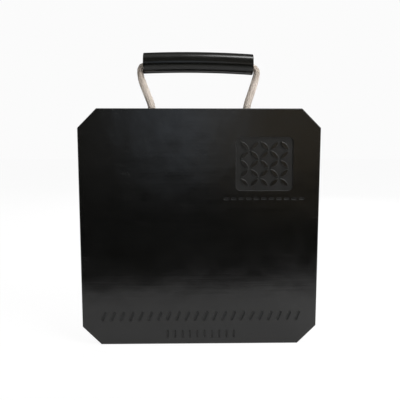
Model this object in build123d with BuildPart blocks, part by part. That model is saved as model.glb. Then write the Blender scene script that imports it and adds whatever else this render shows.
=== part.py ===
from build123d import *
import os
from math import cos, pi, radians, sin, tan

# Outrigger support plate with a rope handle, stood on its lower edge.
# Millimetres. X is the plate's width, -Y its load face, +Y its ground face, +Z up to the handle.
# The origin is the middle of the lower edge.

# Plate
plate_width = 304.8
plate_height = 304.8
plate_thickness = 25.4
corner_cut = 24.0
edge_break = 0.8

# Rope and the holes drilled for it down from the plate's top edge, set in from the grip's ends
rope_diameter = 9.5
rope_hole_inset = 9.25
rope_hole_clearance = 1.25
hole_mouth_break = 1.0

# Pockets in the ground face, one under each rope hole
pocket_drop = 25.0
pocket_width = 32.0
pocket_length = 44.0
pocket_floor = 5.7

# Stopper knots, which lie in the pockets
knot_width = 25.0
knot_thickness = 18.0
knot_length = 22.0
knot_round = 7.0
knot_seat = 0.3
rope_neck = 3.0
rope_tail = 8.0
tail_melt_radius = 2.0

# Hose grip: its end faces' middle, measured from the plate's axis and top edge
grip_length = 136.5
grip_diameter = 25.4
grip_bore = 15.9
grip_bow = 1.85
grip_offset = -1.5
grip_lift = 55.4
grip_tilt = 0.58
grip_rim_round = 0.6
grip_mouth_break = 1.5

# Routed marks in the load face
mark_depth = 1.2
tread_width = 72.0
tread_height = 67.0
tread_corner = 6.0
tread_margin = 4.5
tread_from_axis = 82.0
tread_from_top = 69.3
lozenge_length = 14.0
lozenge_width = 5.0
lozenge_columns = 5
lozenge_rows = 5
dash_length = 6.4
dash_width = 2.2
dash_pitch = 9.6
dash_count = 11
dash_gap = 10.5
hatch_length = 13.4
hatch_width = 3.4
hatch_slope = 68.0
hatch_pitch = 12.0
hatch_count = 22
hatch_from_foot = 37.8
notch_length = 10.5
notch_width = 2.6
notch_pitch = 9.6
notch_count = 10
notch_from_foot = 13.8
marks_shift = 1.5

# Places that follow from the sizes above
load_face = -plate_thickness / 2
ground_face = plate_thickness / 2
rope_hole_radius = rope_diameter / 2 + rope_hole_clearance
rope_hole_x = grip_length / 2 - rope_hole_inset
pocket_depth = plate_thickness - pocket_floor
pocket_middle = plate_height - pocket_drop - pocket_length / 2
knot_top = plate_height - pocket_drop - knot_seat
knot_middle_y = load_face + pocket_floor + knot_seat + knot_thickness / 2
tread_centre = (tread_from_axis, plate_height - tread_from_top)
load_plane = Plane.XZ.offset(-load_face)
ground_plane = Plane.XZ.offset(-ground_face)
grip_frame = Plane(
    origin=(grip_offset, 0, plate_height + grip_lift),
    x_dir=(cos(radians(grip_tilt)), 0, -sin(radians(grip_tilt))),
    z_dir=(0, -1, 0),
)

# Where the rope enters the grip's bore: x, and height above the plate's top edge. It leans on the
# bore's lower wall there.
bore_play = (grip_bore - rope_diameter) / 2
mouth_rise = grip_length / 2 * sin(radians(grip_tilt))
left_mouth_x = grip_offset - grip_length / 2
right_mouth_x = grip_offset + grip_length / 2
left_mouth_height = grip_lift + mouth_rise - bore_play
right_mouth_height = grip_lift - mouth_rise - bore_play

# The rope's route, from the left knot to the right one: x, and height above the plate's top edge
rope_route = [
    (-rope_hole_x + 0.4, -pocket_drop - knot_seat),
    (-rope_hole_x + 0.4, -0.4),
    (-rope_hole_x - 7.8, 20.4),
    (left_mouth_x - 6.5, left_mouth_height - 6.7),
    (left_mouth_x - 2.2, left_mouth_height + 0.2),
    (left_mouth_x + 13.9, left_mouth_height + 1.6),
    (left_mouth_x + 41.9, left_mouth_height + 3.1),
    (right_mouth_x - 41.8, right_mouth_height + 3.8),
    (right_mouth_x - 13.8, right_mouth_height + 1.6),
    (right_mouth_x + 2.3, right_mouth_height + 0.2),
    (right_mouth_x + 6.6, right_mouth_height - 6.7),
    (rope_hole_x + 5.5, 19.6),
    (rope_hole_x - 0.4, -0.3),
    (rope_hole_x - 0.4, -pocket_drop - knot_seat),
]


def add_lozenges():
    """Lens shapes in a grid over the tread field, turned alternately left and right."""
    column_pitch = (tread_width - 2 * tread_margin) / lozenge_columns
    row_pitch = (tread_height - 2 * tread_margin) / lozenge_rows
    with BuildSketch(mode=Mode.PRIVATE) as lozenge:
        with BuildLine():
            upper = ThreePointArc(
                (-lozenge_length / 2, 0), (0, lozenge_width / 2), (lozenge_length / 2, 0)
            )
            ThreePointArc(upper @ 1, (0, -lozenge_width / 2), upper @ 0)
        make_face()
    for column in range(lozenge_columns):
        for row in range(lozenge_rows):
            x = (column - (lozenge_columns - 1) / 2) * column_pitch
            z = (row - (lozenge_rows - 1) / 2) * row_pitch
            turn = 45 if (column + row) % 2 else -45
            with Locations(Location((x, z), turn)):
                add(lozenge.sketch, mode=Mode.SUBTRACT)


# The pad: a cut-cornered board with rope holes, knot pockets and routed marks
with BuildPart() as plate:
    with BuildSketch(Plane.XZ) as outline:
        with Locations((0, plate_height / 2)):
            Rectangle(plate_width, plate_height)
        chamfer(outline.vertices(), corner_cut)
    extrude(amount=plate_thickness / 2, both=True)
    face_rims = plate.faces().filter_by(Axis.Y).edges()
    chamfer(face_rims, edge_break)

    # Rope holes, at mid-thickness, down into the pockets
    with BuildSketch(Plane.XY.offset(plate_height)):
        with GridLocations(2 * rope_hole_x, 0, 2, 1):
            Circle(rope_hole_radius)
    extrude(amount=-(pocket_drop + pocket_width / 2), mode=Mode.SUBTRACT)
    hole_mouths = plate.edges().filter_by(GeomType.CIRCLE).group_by(Axis.Z)[-1]
    chamfer(hole_mouths, hole_mouth_break)

    # Knot pockets, milled from the ground face
    with BuildSketch(ground_plane):
        with Locations((0, pocket_middle)):
            with GridLocations(2 * rope_hole_x, 0, 2, 1):
                SlotOverall(pocket_length, pocket_width, rotation=90)
    extrude(amount=pocket_depth, mode=Mode.SUBTRACT)

    # Anti-slip tread field: a shallow recess with lozenges left standing in it
    with BuildSketch(load_plane):
        with Locations(tread_centre):
            RectangleRounded(tread_width, tread_height, tread_corner)
            add_lozenges()
    extrude(amount=-mark_depth, mode=Mode.SUBTRACT)

    # Rows of routed dashes, slanted grooves and upright notches
    with BuildSketch(load_plane):
        dash_row_height = plate_height - tread_from_top - tread_height / 2 - dash_gap
        with Locations((tread_from_axis, dash_row_height)):
            with GridLocations(dash_pitch, 0, dash_count, 1):
                SlotOverall(dash_length, dash_width)
        with Locations((marks_shift, hatch_from_foot)):
            with GridLocations(hatch_pitch, 0, hatch_count, 1):
                SlotOverall(hatch_length, hatch_width, rotation=hatch_slope)
        with Locations((marks_shift, notch_from_foot)):
            with GridLocations(notch_pitch, 0, notch_count, 1):
                SlotOverall(notch_length, notch_width, rotation=90)
    extrude(amount=-mark_depth, mode=Mode.SUBTRACT)

# The rope: straight runs joined by tangent arcs, as one tube of constant section
route_points = [Vector(x, 0, plate_height + height) for x, height in rope_route]
route_radii = []
for before, corner, after in zip(route_points, route_points[1:], route_points[2:]):
    turn = (corner - before).get_angle(after - corner)
    shorter_run = min((corner - before).length, (after - corner).length)
    route_radii.append(0.45 * shorter_run / tan(radians(turn / 2)))

with BuildPart() as rope:
    with BuildLine() as rope_line:
        FilletPolyline(route_points, radius=route_radii)
    start_run = route_points[1] - route_points[0]
    with BuildSketch(Plane(origin=route_points[0], z_dir=start_run)):
        Circle(rope_diameter / 2)
    sweep(path=rope_line.wires()[0])

# The grip: a hose bowed by the rope in it, its ends cut square to the line between them
with BuildPart() as grip:
    bow_radius = (grip_length**2 / 4 + grip_bow**2) / (2 * grip_bow)
    hose_middle = grip_frame.origin + grip_frame.y_dir * grip_bow
    bow_centre = hose_middle - grip_frame.y_dir * bow_radius
    bow_reach = 1.05 * grip_length / 2 / bow_radius
    hose_start = (
        bow_centre
        - grip_frame.x_dir * bow_radius * sin(bow_reach)
        + grip_frame.y_dir * bow_radius * cos(bow_reach)
    )
    hose_end = hose_start + grip_frame.x_dir * 2 * bow_radius * sin(bow_reach)
    with BuildLine() as hose_line:
        ThreePointArc(hose_start, hose_middle, hose_end)
    with BuildSketch(Plane(origin=hose_start, z_dir=hose_line.line % 0)):
        Circle(grip_diameter / 2)
        Circle(grip_bore / 2, mode=Mode.SUBTRACT)
    sweep(path=hose_line.wires()[0])
    end_plane = Plane(origin=grip_frame.origin, z_dir=grip_frame.x_dir)
    split(bisect_by=end_plane.offset(grip_length / 2), keep=Keep.BOTTOM)
    split(bisect_by=end_plane.offset(-grip_length / 2), keep=Keep.TOP)
    for end_face in (grip.faces().sort_by(Axis.X)[0], grip.faces().sort_by(Axis.X)[-1]):
        rims = end_face.edges().sort_by(SortBy.LENGTH)
        chamfer(rims[0], grip_mouth_break)
        fillet(rims[-1], grip_rim_round)


def build_knot(x):
    """The outer shape of a pulled-down overhand knot and its melted tail, seated in its pocket."""
    knot_bottom = knot_top - rope_neck - knot_length
    with BuildPart() as knot:
        with BuildSketch(Plane.XY.offset(knot_bottom)):
            with Locations((x, knot_middle_y)):
                SlotOverall(knot_width, knot_thickness)
        extrude(amount=knot_length)
        fillet(knot.faces().filter_by(Axis.Z).edges(), knot_round)
        # The rope's way into the knot, in line with its hole
        with BuildSketch(Plane.XY.offset(knot_top)):
            with Locations((x, 0)):
                Circle(rope_diameter / 2)
        extrude(amount=-(rope_neck + knot_round))
        # The tail below the knot, its end melted round
        with BuildSketch(Plane.XY.offset(knot_bottom - rope_tail)):
            with Locations((x, knot_middle_y)):
                Circle(rope_diameter / 2)
        extrude(amount=rope_tail + knot_round)
        fillet(knot.edges().sort_by(Axis.Z)[0], tail_melt_radius)
    return knot


knot_left = build_knot(-rope_hole_x)
knot_right = build_knot(rope_hole_x)

plate.part.label = "plate"
rope.part.label = "rope"
grip.part.label = "grip"
knot_left.part.label = "knot_left"
knot_right.part.label = "knot_right"

os.makedirs("parts", exist_ok=True)
export_step(plate.part, "parts/plate.step")
export_step(rope.part, "parts/rope.step")
export_step(grip.part, "parts/grip.step")
export_step(knot_left.part, "parts/knot_left.step")
export_step(knot_right.part, "parts/knot_right.step")

rope_length = rope_line.wires()[0].length
rope_section = pi * rope_diameter**2 / 4
print("rope radii", [round(radius, 1) for radius in route_radii])
print("rope length", round(rope_length, 1), "between knots")
print("rope volume over section times length", round(rope.part.volume / (rope_section * rope_length), 4))
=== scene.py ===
from math import cos, pi, radians, sin

import bmesh
import bpy
import numpy as np
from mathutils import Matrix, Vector


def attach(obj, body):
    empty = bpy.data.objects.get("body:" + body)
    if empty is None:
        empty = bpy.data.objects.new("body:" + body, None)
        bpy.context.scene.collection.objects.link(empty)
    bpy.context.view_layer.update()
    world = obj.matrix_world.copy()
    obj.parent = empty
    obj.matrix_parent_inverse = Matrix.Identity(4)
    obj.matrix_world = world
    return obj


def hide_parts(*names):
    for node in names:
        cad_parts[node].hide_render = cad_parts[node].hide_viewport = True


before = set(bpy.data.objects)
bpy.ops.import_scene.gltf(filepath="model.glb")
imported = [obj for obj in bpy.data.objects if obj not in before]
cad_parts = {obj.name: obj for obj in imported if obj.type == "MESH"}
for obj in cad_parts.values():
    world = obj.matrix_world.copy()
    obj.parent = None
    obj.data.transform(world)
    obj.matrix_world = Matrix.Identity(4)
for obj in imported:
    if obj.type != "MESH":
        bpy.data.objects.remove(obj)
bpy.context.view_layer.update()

# Outrigger support plate with a rope handle, stood on its lower edge.
# Metres. X is the plate's width, -Y its load face, +Z up to the handle.

bl_info = {
    "name": "Outrigger support plate",
    "version": (1, 0, 0),
    "blender": (4, 5, 0),
    "location": "3D view, sidebar, Support plate tab",
    "description": "Dresses the packed support plate: board, rope, knots, grip and studio",
    "category": "Object",
}

MM = 0.001

# Control points of the rope's route, left knot to right knot: x and z in millimetres, at the
# plate's mid-thickness
ROPE_ROUTE = (
    (-58.6, 279.5),
    (-58.5, 304.2),
    (-66.0, 323.5),
    (-73.4, 342.3),
    (-74.4, 355.1),
    (-68.5, 358.4),
    (-55.8, 359.7),
    (-27.9, 361.0),
    (25.0, 360.5),
    (53.0, 358.4),
    (66.5, 356.6),
    (72.6, 352.4),
    (71.2, 343.0),
    (65.1, 323.6),
    (58.5, 304.5),
    (58.6, 279.5),
)

# Where the rope is pressed flat on the lips of the grip: a point there in millimetres, and the
# rope's thickness there as a share of its diameter
PRESSED = ((-73.6, 352.2, 0.83), (71.6, 351.4, 0.86))
PRESSED_REACH = 0.011

# The braid's proportions, as shares of the rope's radius: how thick a strand is, how far it rises
# or sinks where it crosses others, how wide all strands are together, and the core inside them
STRAND_THICKNESS = 0.27
WEAVE_RISE = 0.09
ALL_STRANDS_WIDTH = 9.6
CORE_RADIUS = 0.78
BRAID_STEP = 0.0008

# Control points of the left knot from its neck to the end of its tail, in millimetres from the
# knot's middle. The right knot is its mirror image.
KNOT_MIDDLE = (-59.0, 2.7, 265.3)
KNOT_ROUTE = (
    (0.4, -2.7, 14.0),
    (0.4, -2.7, 11.2),
    (-1.0, -2.4, 7.4),
    (-2.6, -0.6, 3.4),
    (-3.6, 2.3, -0.2),
    (-2.2, 5.1, -3.4),
    (1.3, 6.3, -6.1),
    (5.4, 5.5, -7.6),
    (8.7, 2.6, -7.3),
    (9.7, -1.2, -5.5),
    (8.2, -4.5, -3.2),
    (4.8, -5.6, -1.3),
    (0.5, -5.9, -0.1),
    (-3.8, -5.75, 1.1),
    (-7.6, -4.9, 2.8),
    (-9.5, -2.0, 5.0),
    (-9.1, 1.8, 7.0),
    (-6.0, 5.0, 7.7),
    (-2.1, 6.4, 6.7),
    (1.7, 5.6, 4.3),
    (3.6, 3.1, 1.0),
    (3.0, 0.4, -2.6),
    (2.2, -1.3, -6.8),
    (1.5, -1.9, -10.6),
    (0.9, -1.6, -14.4),
    (0.5, -1.0, -17.6),
)

# A knot's strands where it is pulled tight, as a share of their full size, the lengths of its
# neck and tail over which they are drawn in, and the melted bead's radii in millimetres
KNOT_TIGHT = 0.79
NECK_LENGTH = 0.010
TAIL_LENGTH = 0.014
BEAD_RADII = (4.4, 4.2, 1.9)

# Where the rope goes into a lip of the grip, on the right: the middle of the painted shade,
# with some grime, on the yarn there. The left one mirrors it.
GRIP_MOUTH_PLACE = (0.0722, 0.0, 0.3530)

# The room that gloss mirrors, in metres: half its width, its front wall, how far back it goes,
# its floor and its ceiling
ROOM_HALF, ROOM_FRONT, ROOM_BACK = 5.0, -2.4, 4.0
ROOM_FLOOR, ROOM_CEILING = -0.75, 2.4
TABLE_HALF = 6.0

# Camera, fitted to the photograph: what it aims at and how far off it is, in millimetres, how far
# it looks down and to the right, in degrees, and its lens on a 36 mm sensor
CAMERA_TARGET = (0.494, -12.7, 190.163)
CAMERA_DISTANCE = 645.4
CAMERA_PITCH, CAMERA_YAW = 6.894, 1.112
CAMERA_LENS = 45.79


def srgb(hex_colour):
    """The linear colour of an sRGB hex value."""
    channels = [int(hex_colour[i : i + 2], 16) / 255 for i in (1, 3, 5)]
    linear = [c / 12.92 if c <= 0.04045 else ((c + 0.055) / 1.055) ** 2.4 for c in channels]
    return (*linear, 1.0)


class BoardSettings(bpy.types.PropertyGroup):
    """Finish of the plastic board."""

    colour: bpy.props.FloatVectorProperty(
        name="Plastic colour",
        description="Colour of the black polyethylene",
        subtype="COLOR",
        size=3,
        min=0.0,
        max=1.0,
        default=srgb("#090908")[:3],
    )
    gloss_roughness: bpy.props.FloatProperty(
        name="Roughness",
        description="Roughness of the board's satin faces",
        subtype="FACTOR",
        min=0.02,
        max=1.0,
        default=0.17,
    )
    edge_round: bpy.props.FloatProperty(
        name="Edge round",
        description="Round left by the router on every sharp edge",
        subtype="DISTANCE",
        unit="LENGTH",
        min=0.0,
        max=0.0006,
        default=0.0004,
    )


class RopeSettings(bpy.types.PropertyGroup):
    """Sizes and colour of the braided rope."""

    diameter: bpy.props.FloatProperty(
        name="Diameter",
        description="Outside diameter of the braid",
        subtype="DISTANCE",
        unit="LENGTH",
        min=0.006,
        max=0.012,
        default=0.0095,
    )
    lay_length: bpy.props.FloatProperty(
        name="Lay length",
        description="Length of rope in which a strand goes once round",
        subtype="DISTANCE",
        unit="LENGTH",
        min=0.015,
        max=0.060,
        default=0.030,
    )
    strands: bpy.props.IntProperty(
        name="Strands",
        description="Strands in the braid, half of them each way round",
        default=16,
        min=4,
        max=32,
    )
    colour: bpy.props.FloatVectorProperty(
        name="Yarn colour",
        description="Colour of the clean off-white yarn",
        subtype="COLOR",
        size=3,
        min=0.0,
        max=1.0,
        default=srgb("#D6CBC0")[:3],
    )


class GripSettings(bpy.types.PropertyGroup):
    """Finish of the hose grip."""

    colour: bpy.props.FloatVectorProperty(
        name="Hose colour",
        description="Colour of the black hose",
        subtype="COLOR",
        size=3,
        min=0.0,
        max=1.0,
        default=srgb("#0E0E0C")[:3],
    )
    gloss_roughness: bpy.props.FloatProperty(
        name="Roughness",
        description="Roughness of the extruded hose",
        subtype="FACTOR",
        min=0.02,
        max=1.0,
        default=0.19,
    )


class StudioSettings(bpy.types.PropertyGroup):
    """The studio round the plate."""

    key_power: bpy.props.FloatProperty(
        name="Key lamp",
        description="Power of the large lamp on the right",
        unit="POWER",
        min=0.0,
        default=25.0,
    )
    overhead_power: bpy.props.FloatProperty(
        name="Overhead lamp",
        description="Power of the lamp above the grip",
        unit="POWER",
        min=0.0,
        default=10.2,
    )
    back_power: bpy.props.FloatProperty(
        name="Back lamp",
        description="Power of the soft lamp behind, which lights the knots",
        unit="POWER",
        min=0.0,
        default=14.0,
    )
    fill_strength: bpy.props.FloatProperty(
        name="Fill light",
        description="Strength of the even light from the room",
        min=0.0,
        max=1.0,
        default=0.20,
    )


def add_node(tree, kind, inputs=(), **settings):
    """Add a node. Inputs maps its sockets, by name or number, to a value, a node or an output."""
    node = tree.nodes.new(kind)
    for name, value in settings.items():
        setattr(node, name, value)
    for socket, value in dict(inputs).items():
        if isinstance(value, bpy.types.Node):
            value = value.outputs[0]
        if isinstance(value, bpy.types.NodeSocket):
            tree.links.new(value, node.inputs[socket])
        else:
            node.inputs[socket].default_value = value
    return node


def new_material(name):
    """An empty node material and its tree."""
    material = bpy.data.materials.new(name)
    material.use_nodes = True
    material.node_tree.nodes.clear()
    return material, material.node_tree


def finish_object(name, mesh, *materials):
    """Link an object for a finished mesh that is already in place."""
    mesh.name = name
    obj = bpy.data.objects.new(name, mesh)
    bpy.context.scene.collection.objects.link(obj)
    faces = [polygon.material_index for polygon in mesh.polygons]
    mesh.materials.clear()
    for material in materials:
        mesh.materials.append(material)
    mesh.polygons.foreach_set("material_index", faces)
    return obj


def evaluated_mesh(obj):
    """A plain mesh of an object with its modifiers, after which the object is removed."""
    depsgraph = bpy.context.evaluated_depsgraph_get()
    mesh = bpy.data.meshes.new_from_object(obj.evaluated_get(depsgraph))
    data = obj.data
    bpy.data.objects.remove(obj)
    if isinstance(data, bpy.types.Curve):
        bpy.data.curves.remove(data)
    else:
        bpy.data.meshes.remove(data)
    return mesh


def smooth_line(control_points):
    """Points along the NURBS line with these control points."""
    data = bpy.data.curves.new("line", "CURVE")
    data.dimensions = "3D"
    spline = data.splines.new("NURBS")
    spline.points.add(len(control_points) - 1)
    for point, place in zip(spline.points, control_points):
        point.co = (*place, 1.0)
    spline.order_u = 3
    spline.use_endpoint_u = True
    spline.resolution_u = 24
    obj = bpy.data.objects.new("line", data)
    bpy.context.scene.collection.objects.link(obj)
    mesh = evaluated_mesh(obj)
    points = [vertex.co.copy() for vertex in mesh.vertices]
    bpy.data.meshes.remove(mesh)
    return points


def arc_lengths(points):
    """How far along the line each of its points is."""
    steps = [(after - before).length for before, after in zip(points, points[1:])]
    return np.concatenate(([0.0], np.cumsum(steps)))


def braid_tree():
    """Geometry nodes that lay a braid of flat strands round a line.

    Each strand passes over two and under two of the strands that go the other way round. The
    line's own radius, 1 for the full rope, draws the braid in where a knot squeezes it.
    """
    tree = bpy.data.node_groups.get("Rope braid")
    if tree:
        return tree
    tree = bpy.data.node_groups.new("Rope braid", "GeometryNodeTree")
    sockets = tree.interface
    sockets.new_socket("Line", in_out="INPUT", socket_type="NodeSocketGeometry")
    for name, kind in (
        ("Strands", "NodeSocketInt"),
        ("Braid radius", "NodeSocketFloat"),
        ("Weave rise", "NodeSocketFloat"),
        ("Lay length", "NodeSocketFloat"),
        ("Strand width", "NodeSocketFloat"),
        ("Strand thickness", "NodeSocketFloat"),
        ("Core radius", "NodeSocketFloat"),
        ("Step", "NodeSocketFloat"),
        ("Yarn", "NodeSocketMaterial"),
    ):
        sockets.new_socket(name, in_out="INPUT", socket_type=kind)
    sockets.new_socket("Braid", in_out="OUTPUT", socket_type="NodeSocketGeometry")
    sizes = add_node(tree, "NodeGroupInput").outputs

    line = add_node(
        tree,
        "GeometryNodeResampleCurve",
        {"Curve": sizes["Line"], "Length": sizes["Step"]},
        mode="LENGTH",
    )
    capture = add_node(tree, "GeometryNodeCaptureAttribute", {"Geometry": line}, domain="POINT")
    spline = add_node(tree, "GeometryNodeSplineParameter")
    for kind, name, source in (
        ("VECTOR", "Tangent", add_node(tree, "GeometryNodeInputTangent").outputs[0]),
        ("VECTOR", "Normal", add_node(tree, "GeometryNodeInputNormal").outputs[0]),
        ("FLOAT", "Along", spline.outputs["Length"]),
        ("FLOAT", "Squeeze", add_node(tree, "GeometryNodeInputRadius").outputs[0]),
    ):
        capture.capture_items.new(kind, name)
        tree.links.new(source, capture.inputs[name])
    line_at = capture.outputs

    copies = add_node(
        tree,
        "GeometryNodeDuplicateElements",
        {"Geometry": line_at["Geometry"], "Amount": sizes["Strands"]},
        domain="SPLINE",
    )
    strand = copies.outputs["Duplicate Index"]
    halved = add_node(tree, "ShaderNodeMath", {0: strand, 1: 0.5}, operation="MULTIPLY")
    number = add_node(tree, "ShaderNodeMath", {0: halved}, operation="FLOOR")
    odd = add_node(tree, "ShaderNodeMath", {0: strand, 1: 2.0}, operation="MODULO")
    way = add_node(
        tree, "ShaderNodeMath", {0: odd, 1: 2.0, 2: -1.0}, operation="MULTIPLY_ADD"
    )
    per_way = add_node(
        tree, "ShaderNodeMath", {0: sizes["Strands"], 1: 0.5}, operation="MULTIPLY"
    )
    turns = add_node(
        tree, "ShaderNodeMath", {0: line_at["Along"], 1: sizes["Lay length"]}, operation="DIVIDE"
    )
    signed_turns = add_node(tree, "ShaderNodeMath", {0: turns, 1: way}, operation="MULTIPLY")
    share = add_node(tree, "ShaderNodeMath", {0: number, 1: per_way}, operation="DIVIDE")
    all_turns = add_node(tree, "ShaderNodeMath", {0: signed_turns, 1: share}, operation="ADD")
    angle = add_node(tree, "ShaderNodeMath", {0: all_turns, 1: 2 * pi}, operation="MULTIPLY")

    # How many strands it has crossed, and from that whether it lies over or under
    per_turn = add_node(tree, "ShaderNodeMath", {0: per_way, 1: 2.0}, operation="MULTIPLY")
    first = add_node(tree, "ShaderNodeMath", {0: number, 1: 2.0, 2: -0.5}, operation="MULTIPLY_ADD")
    crossed = add_node(
        tree,
        "ShaderNodeMath",
        {0: signed_turns, 1: per_turn, 2: first},
        operation="MULTIPLY_ADD",
    )
    quarter = add_node(tree, "ShaderNodeMath", {0: crossed, 1: pi / 2}, operation="MULTIPLY")
    wave = add_node(tree, "ShaderNodeMath", {0: quarter}, operation="COSINE")
    # The wave is cut off at its top and bottom, where the strand lies flat on two others
    overshoot = 1.3
    steep = add_node(tree, "ShaderNodeMath", {0: wave, 1: overshoot}, operation="MULTIPLY")
    high = add_node(tree, "ShaderNodeMath", {0: steep, 1: 1.0}, operation="MINIMUM")
    over = add_node(tree, "ShaderNodeMath", {0: high, 1: -1.0}, operation="MAXIMUM")
    signed_over = add_node(tree, "ShaderNodeMath", {0: over, 1: way}, operation="MULTIPLY")
    reach = add_node(
        tree,
        "ShaderNodeMath",
        {0: signed_over, 1: sizes["Weave rise"], 2: sizes["Braid radius"]},
        operation="MULTIPLY_ADD",
    )
    drawn_in = add_node(
        tree, "ShaderNodeMath", {0: reach, 1: line_at["Squeeze"]}, operation="MULTIPLY"
    )

    binormal = add_node(
        tree,
        "ShaderNodeVectorMath",
        {0: line_at["Tangent"], 1: line_at["Normal"]},
        operation="CROSS_PRODUCT",
    )
    across = add_node(tree, "ShaderNodeMath", {0: angle}, operation="COSINE")
    aside = add_node(tree, "ShaderNodeMath", {0: angle}, operation="SINE")
    along_normal = add_node(
        tree,
        "ShaderNodeVectorMath",
        {0: line_at["Normal"], "Scale": across},
        operation="SCALE",
    )
    along_binormal = add_node(
        tree, "ShaderNodeVectorMath", {0: binormal, "Scale": aside}, operation="SCALE"
    )
    outward = add_node(
        tree, "ShaderNodeVectorMath", {0: along_normal, 1: along_binormal}, operation="ADD"
    )
    offset = add_node(
        tree, "ShaderNodeVectorMath", {0: outward, "Scale": drawn_in}, operation="SCALE"
    )
    strands = add_node(
        tree, "GeometryNodeSetPosition", {"Geometry": copies, "Offset": offset}
    )
    for name, value in (("strand", strand), ("along", line_at["Along"])):
        strands = add_node(
            tree,
            "GeometryNodeStoreNamedAttribute",
            {"Geometry": strands, "Name": name, "Value": value},
            data_type="FLOAT",
            domain="POINT",
        )
    strands = add_node(
        tree, "GeometryNodeSetCurveNormal", {"Curve": strands, "Normal": outward}, mode="FREE"
    )

    # A flat oval section, which carries how far round it a point is, and its crown: 1 at the
    # middle of its outer face, 0 at its edges and -1 inside
    circle = add_node(
        tree,
        "GeometryNodeCurvePrimitiveCircle",
        {"Resolution": 8, "Radius": 0.5},
        mode="RADIUS",
    )
    place = add_node(
        tree, "ShaderNodeSeparateXYZ", {0: add_node(tree, "GeometryNodeInputPosition")}
    )
    height = add_node(tree, "ShaderNodeMath", {0: place.outputs["X"], 1: 2.0}, operation="MULTIPLY")
    crowned = add_node(
        tree,
        "GeometryNodeStoreNamedAttribute",
        {"Geometry": circle, "Name": "crown", "Value": height},
        data_type="FLOAT",
        domain="POINT",
    )
    section_size = add_node(
        tree,
        "ShaderNodeCombineXYZ",
        {"X": sizes["Strand thickness"], "Y": sizes["Strand width"], "Z": 1.0},
    )
    oval = add_node(
        tree, "GeometryNodeTransform", {"Geometry": crowned, "Scale": section_size}
    )
    section = add_node(
        tree,
        "GeometryNodeStoreNamedAttribute",
        {
            "Geometry": oval,
            "Name": "around",
            "Value": add_node(tree, "GeometryNodeSplineParameter").outputs["Factor"],
        },
        data_type="FLOAT",
        domain="POINT",
    )
    swept = add_node(
        tree,
        "GeometryNodeCurveToMesh",
        {
            "Curve": strands,
            "Profile Curve": section,
            "Scale": line_at["Squeeze"],
            "Fill Caps": True,
        },
    )
    core_section = add_node(
        tree,
        "GeometryNodeCurvePrimitiveCircle",
        {"Resolution": 14, "Radius": sizes["Core radius"]},
        mode="RADIUS",
    )
    core_line = add_node(
        tree,
        "GeometryNodeStoreNamedAttribute",
        {
            "Geometry": line,
            "Name": "along",
            "Value": add_node(tree, "GeometryNodeSplineParameter").outputs["Length"],
        },
        data_type="FLOAT",
        domain="POINT",
    )
    core = add_node(
        tree,
        "GeometryNodeCurveToMesh",
        {
            "Curve": core_line,
            "Profile Curve": core_section,
            "Scale": add_node(tree, "GeometryNodeInputRadius"),
            "Fill Caps": True,
        },
    )
    joined = add_node(tree, "GeometryNodeJoinGeometry", {0: core})
    tree.links.new(swept.outputs[0], joined.inputs[0])
    smooth = add_node(tree, "GeometryNodeSetShadeSmooth", {0: joined})
    whole = add_node(tree, "GeometryNodeRealizeInstances", {0: smooth})
    painted = add_node(
        tree, "GeometryNodeSetMaterial", {"Geometry": whole, "Material": sizes["Yarn"]}
    )
    add_node(tree, "NodeGroupOutput", {0: painted})
    return tree


def braid_mesh(points, squeezes, settings, yarn):
    """A braid along these points, drawn in by a share at each, as a plain mesh."""
    data = bpy.data.curves.new("braid", "CURVE")
    data.dimensions = "3D"
    spline = data.splines.new("POLY")
    spline.points.add(len(points) - 1)
    for point, place, squeeze in zip(spline.points, points, squeezes):
        point.co = (*place, 1.0)
        point.radius = squeeze
    obj = bpy.data.objects.new("braid", data)
    bpy.context.scene.collection.objects.link(obj)
    tree = braid_tree()
    sockets = {
        item.name: item.identifier
        for item in tree.interface.items_tree
        if item.item_type == "SOCKET" and item.in_out == "INPUT"
    }
    rope_radius = settings.diameter / 2
    thickness = STRAND_THICKNESS * rope_radius
    rise = WEAVE_RISE * rope_radius
    modifier = obj.modifiers.new("braid", "NODES")
    modifier.node_group = tree
    for name, value in (
        ("Strands", settings.strands),
        ("Braid radius", rope_radius - rise - thickness / 2),
        ("Weave rise", rise),
        ("Lay length", settings.lay_length),
        ("Strand width", ALL_STRANDS_WIDTH * rope_radius / settings.strands),
        ("Strand thickness", thickness),
        ("Core radius", CORE_RADIUS * rope_radius),
        ("Step", BRAID_STEP),
        ("Yarn", yarn),
    ):
        modifier[sockets[name]] = value
    return evaluated_mesh(obj)


def press_flat(mesh, points):
    """Flatten the braid in the handle's plane where it is pressed on the lips of the grip."""
    lengths = arc_lengths(points)
    line = np.array(points)
    count = len(mesh.vertices)
    places = np.empty(count * 3, np.float32)
    mesh.vertices.foreach_get("co", places)
    places = places.reshape(-1, 3).astype(float)
    along = np.empty(count, np.float32)
    mesh.attributes["along"].data.foreach_get("value", along)

    def place_at(length):
        return np.stack([np.interp(length, lengths, line[:, k]) for k in range(3)], 1)

    middle = place_at(along)
    tangent = place_at(along + BRAID_STEP / 2) - place_at(along - BRAID_STEP / 2)
    tangent /= np.linalg.norm(tangent, axis=1, keepdims=True)
    inward = np.stack([tangent[:, 2], np.zeros(count), -tangent[:, 0]], 1)
    offset = places - middle
    thinned = np.ones(count)
    for x, z, share in PRESSED:
        lip = np.argmin(np.hypot(line[:, 0] - x * MM, line[:, 2] - z * MM))
        nearness = np.exp(-(((along - lengths[lip]) / PRESSED_REACH) ** 2))
        thinned *= 1 - (1 - share) * nearness
    in_plane = np.sum(offset * inward, 1)
    places += inward * (in_plane * (thinned - 1))[:, None]
    places[:, 1] = offset[:, 1] / thinned
    mesh.vertices.foreach_set("co", places.astype(np.float32).ravel())
    mesh.update()


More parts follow.
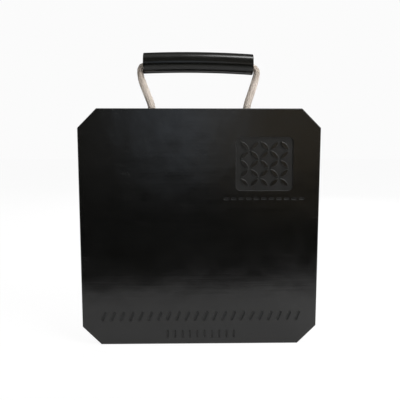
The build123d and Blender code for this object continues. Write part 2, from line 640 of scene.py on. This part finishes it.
def ball(segments, rings):
    """Corners and outward faces of a ball of radius 1, in the same order on every run."""
    corners = [Vector((0, 0, 1))]
    for ring in range(1, rings):
        tilt = pi * ring / rings
        for segment in range(segments):
            turn = 2 * pi * segment / segments
            corners.append(Vector((sin(tilt) * cos(turn), sin(tilt) * sin(turn), cos(tilt))))
    corners.append(Vector((0, 0, -1)))
    last = len(corners) - 1
    faces = []
    for this in range(segments):
        after = (this + 1) % segments
        faces.append((0, 1 + this, 1 + after))
        for ring in range(rings - 2):
            upper = 1 + ring * segments
            lower = upper + segments
            faces.append((upper + this, lower + this, lower + after, upper + after))
        faces.append((last, last - segments + after, last - segments + this))
    return corners, faces


def pattern(tree, size, turn=(0.0, 0.0, 0.0), detail=2.0, roughness=0.5):
    """Noise on the object's own axes. Size is how far apart its blotches are, in millimetres."""
    place = add_node(tree, "ShaderNodeTexCoord").outputs["Object"]
    mapped = add_node(
        tree,
        "ShaderNodeMapping",
        {"Vector": place, "Rotation": turn, "Scale": [length * MM for length in size]},
        vector_type="TEXTURE",
    )
    noise = add_node(
        tree,
        "ShaderNodeTexNoise",
        {"Vector": mapped, "Scale": 1.0, "Detail": detail, "Roughness": roughness},
    )
    return noise.outputs[0]


def pressed_polyethylene(settings):
    """High density polyethylene, pressed into board: deep black with a satin gloss.

    The eye sees a soft mirror that ripples slightly, fine streaks from the press and a few pale
    scratches.
    """
    material, tree = new_material("Pressed black polyethylene")

    # Ripples in the pressed face, 60 mm from crest to crest and finer
    ripples = pattern(tree, (60, 60, 60), detail=2.5, roughness=0.5)
    ripple_bump = add_node(
        tree, "ShaderNodeBump", {"Strength": 1.0, "Distance": 0.0009, "Height": ripples}
    )

    # Streaks across the board, drawn 5 mm apart, coarser than the real ones so that they show
    streaks = pattern(tree, (140, 140, 5), detail=3.0, roughness=0.65)
    streak_bump = add_node(
        tree,
        "ShaderNodeBump",
        {"Strength": 1.0, "Distance": 0.00006, "Height": streaks, "Normal": ripple_bump},
    )

    # Scratches: a contour line of a pattern stretched along them, broken up by patches
    grain = pattern(tree, (260, 260, 13), (0.0, 0.22, 0.0), detail=0.0)
    centred = add_node(tree, "ShaderNodeMath", {0: grain, 1: 0.60}, operation="SUBTRACT")
    distance = add_node(tree, "ShaderNodeMath", {0: centred}, operation="ABSOLUTE")
    scratches = add_node(
        tree, "ShaderNodeMapRange", {"Value": distance, "From Min": 0.010, "From Max": 0.0}
    )
    patches = pattern(tree, (45, 45, 45))
    worn = add_node(
        tree,
        "ShaderNodeMapRange",
        {"Value": patches, "From Min": 0.53, "From Max": 0.70, "To Max": 0.12},
    )
    scratched = add_node(tree, "ShaderNodeMath", {0: scratches, 1: worn}, operation="MULTIPLY")

    # Roughness: an uneven satin, hazier in the streaks and scratches
    haze = pattern(tree, (22, 22, 22), detail=4.0, roughness=0.6)
    satin = add_node(
        tree,
        "ShaderNodeMapRange",
        {
            "Value": haze,
            "From Min": 0.3,
            "From Max": 0.7,
            "To Min": settings.gloss_roughness - 0.03,
            "To Max": settings.gloss_roughness + 0.04,
        },
    )
    streaked = add_node(
        tree, "ShaderNodeMath", {0: streaks, 1: 0.06, 2: satin}, operation="MULTIPLY_ADD"
    )
    roughness = add_node(
        tree, "ShaderNodeMath", {0: scratched, 1: 0.5, 2: streaked}, operation="MULTIPLY_ADD"
    )

    # Colour: black, greyed where scratched
    colour = add_node(
        tree,
        "ShaderNodeMix",
        {0: scratched, 6: (*settings.colour, 1.0), 7: srgb("#3A3A38")},
        data_type="RGBA",
    )
    shader = add_node(
        tree,
        "ShaderNodeBsdfPrincipled",
        {
            "Base Color": colour.outputs[2],
            "Roughness": roughness,
            "IOR": 1.5,
            "Normal": streak_bump,
        },
    )
    add_node(tree, "ShaderNodeOutputMaterial", {"Surface": shader})
    return material


def routed_polyethylene():
    """The same board where a saw or router has cut it: greyer and matt, with fine tool marks."""
    material, tree = new_material("Routed black polyethylene")

    # Tool marks across the board's thickness, 1.4 mm apart round its sides
    marks = pattern(tree, (1.4, 30, 1.4), detail=2.0)
    bump = add_node(
        tree, "ShaderNodeBump", {"Strength": 1.0, "Distance": 0.00018, "Height": marks}
    )
    haze = pattern(tree, (15, 15, 15), detail=3.0)
    roughness = add_node(
        tree,
        "ShaderNodeMapRange",
        {"Value": haze, "From Min": 0.3, "From Max": 0.7, "To Min": 0.44, "To Max": 0.56},
    )
    colour = add_node(
        tree,
        "ShaderNodeMix",
        {0: haze, 6: srgb("#0C0C0B"), 7: srgb("#161615")},
        data_type="RGBA",
    )
    shader = add_node(
        tree,
        "ShaderNodeBsdfPrincipled",
        {"Base Color": colour.outputs[2], "Roughness": roughness, "IOR": 1.5, "Normal": bump},
    )
    add_node(tree, "ShaderNodeOutputMaterial", {"Surface": shader})
    return material


def yarn(settings):
    """Braided synthetic yarn, off-white and a little grubby.

    The eye sees a matt weave with a faint sheen and fine fibres along each strand, with painted
    shade in the gaps between the strands and painted shade and grime where it goes into the grip.
    """
    material = bpy.data.materials.get("Braided off-white yarn")
    if material:
        return material
    material, tree = new_material("Braided off-white yarn")
    strand = add_node(tree, "ShaderNodeAttribute", attribute_name="strand")
    along = add_node(tree, "ShaderNodeAttribute", attribute_name="along")
    around = add_node(tree, "ShaderNodeAttribute", attribute_name="around")

    # Fibres 0.4 mm apart across a strand and about 8 mm long, drawn coarser than the real ones so
    # that they show. Each strand has its own.
    fibres_round, fibres_per_metre, strand_shift = 16.0, 120.0, 3.7
    fibre_place = add_node(
        tree,
        "ShaderNodeCombineXYZ",
        {"X": around.outputs["Fac"], "Y": along.outputs["Fac"], "Z": strand.outputs["Fac"]},
    )
    fibre_scale = add_node(
        tree,
        "ShaderNodeMapping",
        {"Vector": fibre_place, "Scale": (fibres_round, fibres_per_metre, strand_shift)},
    )
    fibres = add_node(
        tree, "ShaderNodeTexNoise", {"Vector": fibre_scale, "Scale": 1.0, "Detail": 2.0}
    )
    bump = add_node(
        tree, "ShaderNodeBump", {"Strength": 0.6, "Distance": 0.00022, "Height": fibres.outputs[0]}
    )

    # Uneven colour: clean yarn, and slightly grubby patches from hands
    grubby = pattern(tree, (11, 11, 11), detail=3.0)
    share = add_node(
        tree,
        "ShaderNodeMapRange",
        {"Value": grubby, "From Min": 0.40, "From Max": 0.75, "To Max": 0.30},
    )
    stained = add_node(
        tree,
        "ShaderNodeMix",
        {0: share, 6: (*settings.colour, 1.0), 7: srgb("#B3A291")},
        data_type="RGBA",
    )
    # Painted shade, with some grime, where the rope goes into the grip at its lips, which lie the
    # same on both sides
    place = add_node(tree, "ShaderNodeTexCoord").outputs["Object"]
    from_middle = add_node(tree, "ShaderNodeVectorMath", {0: place}, operation="ABSOLUTE")
    to_lip = add_node(
        tree, "ShaderNodeVectorMath", {0: from_middle, 1: GRIP_MOUTH_PLACE}, operation="DISTANCE"
    )
    mouth_shade_and_grime = add_node(
        tree,
        "ShaderNodeMapRange",
        {"Value": to_lip.outputs["Value"], "From Min": 0.019, "From Max": 0.005, "To Max": 0.55},
        interpolation_type="SMOOTHSTEP",
    )
    stained = add_node(
        tree,
        "ShaderNodeMix",
        {0: mouth_shade_and_grime, 6: stained.outputs[2], 7: srgb("#8C7D70")},
        data_type="RGBA",
    )
    fibre_shade = add_node(
        tree,
        "ShaderNodeMapRange",
        {
            "Value": fibres.outputs[0],
            "From Min": 0.3,
            "From Max": 0.7,
            "To Min": 0.93,
            "To Max": 1.04,
        },
    )
    # Painted shade between the strands, darkest at their edges, which lie lower than their crowns,
    # and on the core, which has no crown
    crown = add_node(tree, "ShaderNodeAttribute", attribute_name="crown")
    painted_gap_shade = add_node(
        tree,
        "ShaderNodeMapRange",
        {
            "Value": crown.outputs["Fac"],
            "From Min": 0.0,
            "From Max": 0.7,
            "To Min": 0.55,
            "To Max": 1.05,
        },
    )
    both = add_node(tree, "ShaderNodeMath", {0: fibre_shade, 1: painted_gap_shade}, operation="MULTIPLY")
    shade = add_node(
        tree,
        "ShaderNodeVectorMath",
        {0: stained.outputs[2], "Scale": both},
        operation="SCALE",
    )
    shader = add_node(
        tree,
        "ShaderNodeBsdfPrincipled",
        {
            "Base Color": shade,
            "Roughness": 0.7,
            "IOR": 1.5,
            "Sheen Weight": 0.15,
            "Sheen Roughness": 0.5,
            "Normal": bump,
        },
    )
    add_node(tree, "ShaderNodeOutputMaterial", {"Surface": shader})
    return material


def melted_yarn():
    """The rope's end sealed with a flame: a hard, brownish bead of molten yarn."""
    material = bpy.data.materials.get("Melted yarn end")
    if material:
        return material
    material, tree = new_material("Melted yarn end")
    scorch = pattern(tree, (2.4, 2.4, 2.4))
    colour = add_node(
        tree,
        "ShaderNodeMix",
        {0: scorch, 6: srgb("#B8A68C"), 7: srgb("#6E5B46")},
        data_type="RGBA",
    )
    bump = add_node(
        tree, "ShaderNodeBump", {"Strength": 0.5, "Distance": 0.0003, "Height": scorch}
    )
    shader = add_node(
        tree,
        "ShaderNodeBsdfPrincipled",
        {"Base Color": colour.outputs[2], "Roughness": 0.35, "IOR": 1.5, "Normal": bump},
    )
    add_node(tree, "ShaderNodeOutputMaterial", {"Surface": shader})
    return material


def hose_rubber(settings):
    """Extruded black hose: smooth and glossy, with faint draw lines along it and handling haze."""
    material, tree = new_material("Extruded black hose")

    # Draw lines 2.4 mm apart, coarser than the real ones so that they show
    lines = pattern(tree, (200, 2.4, 2.4))
    bump = add_node(
        tree, "ShaderNodeBump", {"Strength": 1.0, "Distance": 0.000025, "Height": lines}
    )
    haze = pattern(tree, (16, 16, 16), detail=3.0)
    roughness = add_node(
        tree,
        "ShaderNodeMapRange",
        {
            "Value": haze,
            "From Min": 0.3,
            "From Max": 0.7,
            "To Min": settings.gloss_roughness - 0.03,
            "To Max": settings.gloss_roughness + 0.04,
        },
    )
    shader = add_node(
        tree,
        "ShaderNodeBsdfPrincipled",
        {
            "Base Color": (*settings.colour, 1.0),
            "Roughness": roughness,
            "IOR": 1.42,
            "Normal": bump,
        },
    )
    add_node(tree, "ShaderNodeOutputMaterial", {"Surface": shader})
    return material


class PLATE_OT_board(bpy.types.Operator):
    """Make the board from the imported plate, its edges rounded off, in pressed black plastic"""

    bl_idname = "support_plate.board"
    bl_label = "Make the board"

    def execute(self, context):
        settings = context.scene.plate_board
        just_inside_faces = 12.65 * MM
        large_face = 500 * MM**2
        mesh = bpy.data.meshes.new("board")
        solid = bmesh.new()
        solid.from_mesh(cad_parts["plate"].data)
        bmesh.ops.remove_doubles(solid, verts=solid.verts, dist=2e-6)
        bmesh.ops.dissolve_limit(
            solid, angle_limit=radians(0.6), verts=solid.verts, edges=solid.edges
        )
        for face in solid.faces:
            face.smooth = True
            pressed = all(abs(vertex.co.y) > just_inside_faces for vertex in face.verts)
            face.material_index = 0 if pressed else 1
        solid.to_mesh(mesh)
        solid.free()
        materials = (pressed_polyethylene(settings), routed_polyethylene())
        board = finish_object("board", mesh, *materials)
        bevel = board.modifiers.new("edge round", "BEVEL")
        bevel.width = settings.edge_round
        bevel.segments = 2
        bevel.limit_method = "ANGLE"
        bevel.angle_limit = radians(28)
        bevel.use_clamp_overlap = False
        bevel.material = 1
        mesh = evaluated_mesh(board)
        # Large flat faces shade flat right up to their rounded edges
        solid = bmesh.new()
        solid.from_mesh(mesh)
        for edge in solid.edges:
            flat = any(face.calc_area() > large_face for face in edge.link_faces)
            edge.smooth = not flat and edge.calc_face_angle(0) < radians(18)
        solid.to_mesh(mesh)
        solid.free()
        board = finish_object("board", mesh, *materials)
        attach(board, "pad")
        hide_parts("plate")
        return {"FINISHED"}


class PLATE_OT_rope(bpy.types.Operator):
    """Braid the rope along its route, from the left knot through the grip to the right knot"""

    bl_idname = "support_plate.rope"
    bl_label = "Braid the rope"

    def execute(self, context):
        settings = context.scene.plate_rope
        points = smooth_line([(x * MM, 0.0, z * MM) for x, z in ROPE_ROUTE])
        mesh = braid_mesh(points, [1.0] * len(points), settings, yarn(settings))
        press_flat(mesh, points)
        rope = finish_object("rope_braid", mesh, yarn(settings))
        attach(rope, "pad")
        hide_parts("rope")
        return {"FINISHED"}


class PLATE_OT_knots(bpy.types.Operator):
    """Tie a stopper knot in each end of the rope, in its pocket, with a melted tail"""

    bl_idname = "support_plate.knots"
    bl_label = "Tie the knots"

    def execute(self, context):
        settings = context.scene.plate_rope
        for side, name in ((1, "left"), (-1, "right")):
            middle = Vector((KNOT_MIDDLE[0] * side, *KNOT_MIDDLE[1:]))
            route = [
                (middle + Vector((x * side, y, z))) * MM for x, y, z in KNOT_ROUTE
            ]
            points = smooth_line(route)
            lengths = arc_lengths(points)
            # Drawn in where the knot is pulled tight, full at its neck and nearly so at its tail
            squeezes = np.interp(
                lengths,
                [0.002, NECK_LENGTH, lengths[-1] - TAIL_LENGTH, lengths[-1] - 0.004],
                [1.0, KNOT_TIGHT, KNOT_TIGHT, 0.95],
            )
            mesh = braid_mesh(points, squeezes, settings, yarn(settings))
            end, back = points[-1], (points[-1] - points[-6]).normalized()
            turn = back.to_track_quat("Z", "Y")
            corners, faces = ball(segments=20, rings=12)
            solid = bmesh.new()
            solid.from_mesh(mesh)
            bead = []
            for corner in corners:
                x, y, _ = corner
                lumpy = 1 + 0.05 * sin(5 * x + 3 * y) + 0.04 * cos(7 * y)
                shape = corner * Vector(BEAD_RADII) * lumpy
                bead.append(solid.verts.new(end + turn @ (shape * MM)))
            for indices in faces:
                face = solid.faces.new([bead[index] for index in indices])
                face.material_index = 1
                face.smooth = True
            solid.to_mesh(mesh)
            solid.free()
            knot = finish_object("stopper_knot_" + name, mesh, yarn(settings), melted_yarn())
            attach(knot, "pad")
            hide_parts("knot_" + name)
        return {"FINISHED"}


class PLATE_OT_grip(bpy.types.Operator):
    """Give the hose grip its glossy black finish"""

    bl_idname = "support_plate.grip"
    bl_label = "Dress the grip"

    def execute(self, context):
        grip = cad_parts["grip"]
        grip.data.materials.clear()
        grip.data.materials.append(hose_rubber(context.scene.plate_grip))
        return {"FINISHED"}


def seen_directly(tree):
    """1 for rays from the camera, from gloss or through glass, and 0 for the light it gives."""
    path = add_node(tree, "ShaderNodeLightPath").outputs
    either = add_node(
        tree,
        "ShaderNodeMath",
        {0: path["Is Camera Ray"], 1: path["Is Glossy Ray"]},
        operation="MAXIMUM",
    )
    return add_node(
        tree, "ShaderNodeMath", {0: either, 1: path["Is Transmission Ray"]}, operation="MAXIMUM"
    )


def white_paper(camera_share, mirror_share):
    """Matt white paper, of which these shares of what the camera and gloss see glow plain white."""
    material, tree = new_material("Matt white paper")
    matt = add_node(tree, "ShaderNodeBsdfDiffuse", {"Color": srgb("#FBFBFB")})
    # A little over 1, so that the lit table meets the white behind it without an edge
    glow = add_node(tree, "ShaderNodeEmission", {"Color": (1, 1, 1, 1), "Strength": 1.02})
    path = add_node(tree, "ShaderNodeLightPath").outputs
    direct = add_node(
        tree, "ShaderNodeMath", {0: path["Is Camera Ray"], 1: camera_share}, operation="MULTIPLY"
    )
    mirrored = add_node(
        tree,
        "ShaderNodeMath",
        {0: path["Is Glossy Ray"], 1: path["Is Transmission Ray"]},
        operation="MAXIMUM",
    )
    share = add_node(
        tree,
        "ShaderNodeMath",
        {0: mirrored, 1: mirror_share, 2: direct},
        operation="MULTIPLY_ADD",
    )
    mixed = add_node(tree, "ShaderNodeMixShader", {0: share, 1: matt, 2: glow})
    add_node(tree, "ShaderNodeOutputMaterial", {"Surface": mixed})
    return material


def stage_quad(name, corners, material):
    """A flat four-cornered piece of the stage."""
    mesh = bpy.data.meshes.new(name)
    mesh.from_pydata(corners, [], [(0, 1, 2, 3)])
    obj = finish_object(name, mesh, material)
    return obj


def show_only_in_gloss(obj):
    """Hide a piece of the stage from every ray but gloss."""
    obj.visible_camera = False
    obj.visible_diffuse = False
    obj.visible_shadow = False
    obj.visible_transmission = False
    obj.visible_volume_scatter = False


def card(name, corners, build_colour):
    """A glowing side of the room round the studio, which shows only in gloss."""
    material, tree = new_material(name.replace("_", " "))
    glow = add_node(tree, "ShaderNodeEmission", {"Color": build_colour(tree), "Strength": 1.0})
    add_node(tree, "ShaderNodeOutputMaterial", {"Surface": glow})
    show_only_in_gloss(stage_quad(name, corners, material))


def glow_patch(tree, middle, spread, colour, core=0.0):
    """A soft round patch of colour on a side of the room.

    It is even out to its core, which is a share of its spread.
    """
    place = add_node(tree, "ShaderNodeTexCoord").outputs["Object"]
    centred = add_node(
        tree, "ShaderNodeVectorMath", {0: place, 1: middle}, operation="SUBTRACT"
    )
    scaled = add_node(
        tree, "ShaderNodeVectorMath", {0: centred, 1: spread}, operation="DIVIDE"
    )
    distance = add_node(tree, "ShaderNodeVectorMath", {0: scaled}, operation="LENGTH")
    fall = add_node(
        tree,
        "ShaderNodeMapRange",
        {"Value": distance.outputs["Value"], "From Min": 1.0, "From Max": core},
        interpolation_type="SMOOTHSTEP",
    )
    return add_node(
        tree, "ShaderNodeVectorMath", {0: colour[:3], "Scale": fall}, operation="SCALE"
    )


def wall_colour(tree):
    """Dim grey, with a pale blue window in the middle and a warmer lamp-lit part on the right."""
    window = glow_patch(
        tree, (-0.04, ROOM_FRONT, 0.45), (0.46, 1.0, 0.52), srgb("#CBDAEE"), 0.35
    )
    warm = glow_patch(tree, (0.62, ROOM_FRONT, 0.42), (0.80, 1.0, 0.66), srgb("#9A8A6E"), 0.35)
    total = add_node(tree, "ShaderNodeVectorMath", {0: window, 1: warm}, operation="ADD")
    low = fade(tree, "Z", (-0.20, 0.35), (srgb("#222220"), srgb("#74716A")))
    return add_node(tree, "ShaderNodeVectorMath", {0: total, 1: low}, operation="ADD")


def ceiling_colour(tree):
    """Lit round the lamp that hangs below it, and dim beyond."""
    lit = glow_patch(tree, (0.1, -0.5, ROOM_CEILING), (2.2, 1.7, 1.0), srgb("#DCDCD8"))
    return add_node(
        tree, "ShaderNodeVectorMath", {0: lit, 1: srgb("#4C4C4A")[:3]}, operation="ADD"
    )


def floor_colour(tree):
    """Lit in front of the table, and dim elsewhere."""
    lit = glow_patch(tree, (0.0, -0.9, ROOM_FLOOR), (3.0, 1.5, 1.0), srgb("#E4E4E0"))
    return add_node(
        tree, "ShaderNodeVectorMath", {0: lit, 1: srgb("#484846")[:3]}, operation="ADD"
    )


def fade(tree, axis, ends, colours):
    """Fade from one colour to another between two places on an axis."""
    place = add_node(tree, "ShaderNodeTexCoord").outputs["Object"]
    axes = add_node(tree, "ShaderNodeSeparateXYZ", {0: place})
    share = add_node(
        tree,
        "ShaderNodeMapRange",
        {"Value": axes.outputs[axis], "From Min": ends[0], "From Max": ends[1]},
        interpolation_type="SMOOTHSTEP",
    )
    return add_node(
        tree, "ShaderNodeMix", {0: share, 6: colours[0], 7: colours[1]}, data_type="RGBA"
    ).outputs[2]


def area_lamp(name, place, target, size, power):
    """Add a rectangular lamp that points at a target."""
    light = bpy.data.lights.new(name, "AREA")
    light.shape = "RECTANGLE"
    light.size, light.size_y = size
    light.energy = power
    obj = bpy.data.objects.new(name, light)
    bpy.context.scene.collection.objects.link(obj)
    obj.location = place
    obj.rotation_euler = (Vector(target) - Vector(place)).to_track_quat("-Z", "Y").to_euler()
    return obj


class PLATE_OT_studio(bpy.types.Operator):
    """Set up the white table, the room that gloss mirrors, the lamps and the camera"""

    bl_idname = "support_plate.studio"
    bl_label = "Set up the studio"

    def execute(self, context):
        scene = context.scene
        settings = scene.plate_studio

        # White table, which runs on as far as any view sees. In gloss it ends as a sheet of paper
        # does, with a front edge that is not quite square to the plate.
        far, near = TABLE_HALF, -TABLE_HALF
        corners = [(near, near, 0), (far, near, 0), (far, far, 0), (near, far, 0)]
        table = stage_quad("table", corners, white_paper(0.92, 0.0))
        table.visible_glossy = False
        lift = 0.3 * MM
        corners = [(-1, -0.17, lift), (1, -0.382, lift), (1, 0.3, lift), (-1, 0.3, lift)]
        show_only_in_gloss(stage_quad("paper", corners, white_paper(0.0, 0.30)))

        # The room round the table, which only gloss shows: each side between two of its edges
        floor_front, floor_back = (ROOM_FRONT, ROOM_FLOOR), (ROOM_BACK, ROOM_FLOOR)
        ceiling_front, ceiling_back = (ROOM_FRONT, ROOM_CEILING), (ROOM_BACK, ROOM_CEILING)
        for name, first, second, build_colour in (
            ("room_floor", floor_front, floor_back, floor_colour),
            ("room_wall", floor_front, ceiling_front, wall_colour),
            ("room_ceiling", ceiling_front, ceiling_back, ceiling_colour),
        ):
            corners = [(-ROOM_HALF, *first), (ROOM_HALF, *first)]
            corners += [(ROOM_HALF, *second), (-ROOM_HALF, *second)]
            card(name, corners, build_colour)

        # Lamps: place, what they point at, size and power
        area_lamp("key_lamp", (1.06, -0.86, 1.32), (0, 0, 0.2), (0.9, 0.9), settings.key_power)
        area_lamp(
            "overhead_lamp",
            (0.48, -0.22, 1.85),
            (0.3, 0, 0.36),
            (0.9, 0.35),
            settings.overhead_power,
        )
        back_lamp = area_lamp(
            "back_lamp", (0.4, 1.4, 0.9), (0, 0, 0.22), (0.9, 0.9), settings.back_power
        )
        back_lamp.visible_glossy = False

        world = bpy.data.worlds.new("Studio")
        scene.world = world
        world.use_nodes = True
        tree = world.node_tree
        tree.nodes.clear()
        fill = add_node(
            tree,
            "ShaderNodeBackground",
            {"Color": (1, 1, 1, 1), "Strength": settings.fill_strength},
        )
        # As bright as the far end of the table, so that no edge shows between them
        white = add_node(tree, "ShaderNodeBackground", {"Color": (1, 1, 1, 1), "Strength": 0.965})
        mixed = add_node(tree, "ShaderNodeMixShader", {0: seen_directly(tree), 1: fill, 2: white})
        add_node(tree, "ShaderNodeOutputWorld", {"Surface": mixed})

        pitch, yaw = radians(CAMERA_PITCH), radians(CAMERA_YAW)
        forward = Vector((sin(yaw) * cos(pitch), cos(yaw) * cos(pitch), -sin(pitch)))
        data = bpy.data.cameras.new("camera")
        data.sensor_width = 36.0
        data.lens = CAMERA_LENS
        data.clip_start = 0.01
        camera = bpy.data.objects.new("camera", data)
        scene.collection.objects.link(camera)
        camera.location = (Vector(CAMERA_TARGET) - forward * CAMERA_DISTANCE) * MM
        camera.rotation_euler = forward.to_track_quat("-Z", "Y").to_euler()
        scene.camera = camera
        scene.view_settings.view_transform = "Standard"
        return {"FINISHED"}


class PLATE_PT_panel(bpy.types.Panel):
    """The support plate's steps and settings"""

    bl_idname = "PLATE_PT_panel"
    bl_label = "Support plate"
    bl_space_type = "VIEW_3D"
    bl_region_type = "UI"
    bl_category = "Support plate"

    def draw(self, context):
        for operator in OPERATORS:
            self.layout.operator(operator.bl_idname)
        for name, settings in SETTINGS.items():
            for key in settings.__annotations__:
                self.layout.prop(getattr(context.scene, name), key)


SETTINGS = {
    "plate_board": BoardSettings,
    "plate_rope": RopeSettings,
    "plate_grip": GripSettings,
    "plate_studio": StudioSettings,
}
OPERATORS = (PLATE_OT_studio, PLATE_OT_knots, PLATE_OT_rope, PLATE_OT_board, PLATE_OT_grip)


def register():
    for name, settings in SETTINGS.items():
        bpy.utils.register_class(settings)
        setattr(bpy.types.Scene, name, bpy.props.PointerProperty(type=settings))
    for item in (*OPERATORS, PLATE_PT_panel):
        bpy.utils.register_class(item)


def unregister():
    for item in (PLATE_PT_panel, *reversed(OPERATORS)):
        bpy.utils.unregister_class(item)
    for name, settings in SETTINGS.items():
        delattr(bpy.types.Scene, name)
        bpy.utils.unregister_class(settings)


def main():
    register()
    bpy.ops.support_plate.studio()
    bpy.ops.support_plate.knots()
    bpy.ops.support_plate.rope()
    bpy.ops.support_plate.board()
    bpy.ops.support_plate.grip()


if __name__ == "__main__":
    main()
